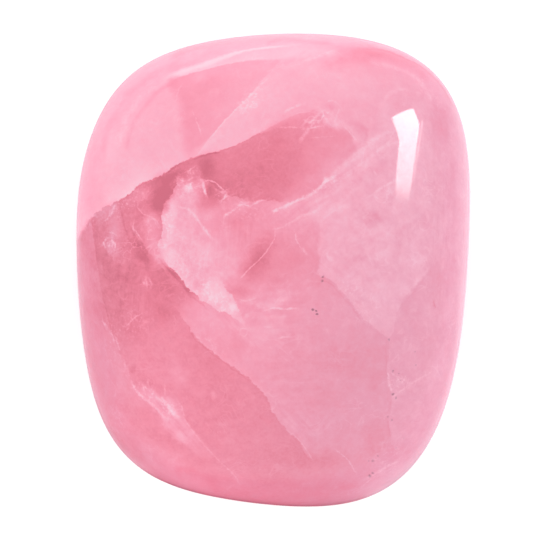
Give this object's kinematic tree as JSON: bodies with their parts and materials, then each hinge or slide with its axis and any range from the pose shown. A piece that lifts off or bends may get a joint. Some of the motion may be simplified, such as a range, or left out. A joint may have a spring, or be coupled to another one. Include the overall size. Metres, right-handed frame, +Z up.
{
  "type": "tumbled stone",
  "caption": "Tumbled rose quartz: a polished, milky pink stone worn to a rounded pillow, lying on a small flat spot.",
  "frame": {"origin": "on the surface that the stone lies on, under the middle of its bounding box", "axes": "+Z up through the stone's thickness, +Y along its length towards the end that is uppermost in the picture, +X across its width"},
  "size_m": [0.025, 0.0302, 0.0178],
  "materials": {
    "rose_quartz": "tumble polished, glossy, milky and translucent"
  },
  "bodies": {
    "root": {"stone": "rose_quartz"}
  },
  "joints": []
}
